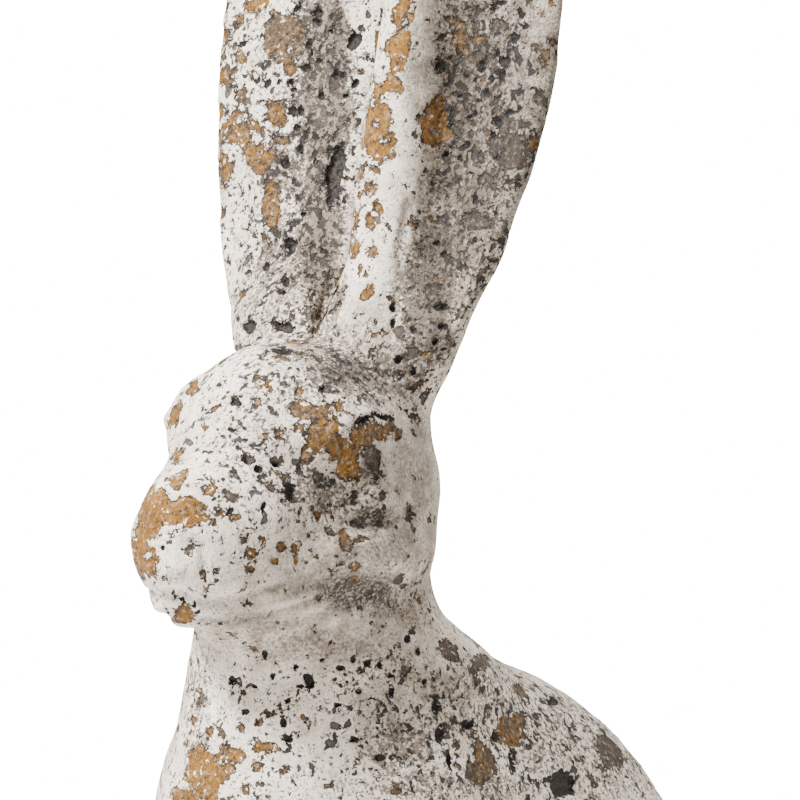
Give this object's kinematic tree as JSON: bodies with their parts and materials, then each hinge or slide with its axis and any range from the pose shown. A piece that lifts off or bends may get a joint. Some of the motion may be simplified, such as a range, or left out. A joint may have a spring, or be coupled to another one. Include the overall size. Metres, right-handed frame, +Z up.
{
  "type": "rabbit statue",
  "caption": "Seated hare with tall upright ears, a garden figurine assembled from hollow and solid castings with chipped, weathered paint.",
  "frame": {"origin": "on the ground, on the plane of symmetry, midway between the tip of the nose and the back of the tail", "axes": "+Z up, the hare faces -Y, +X is the hare's left"},
  "size_m": [0.206, 0.3561, 0.615],
  "materials": {
    "painted_cement": "matt off-white distressed paint over ochre undercoat on cast cement, chipped and pitted",
    "bare_cement": "bare grey-buff cast cement, float finished",
    "rod_steel": "plain drawn steel bar"
  },
  "bodies": {
    "root": {"body_shell": "painted_cement", "head": "painted_cement", "left_ear": "painted_cement", "right_ear": "painted_cement", "left_ear_rod": "rod_steel", "right_ear_rod": "rod_steel", "front_neck_pin": "rod_steel", "rear_neck_pin": "rod_steel", "base_plate": "bare_cement"}
  },
  "joints": []
}
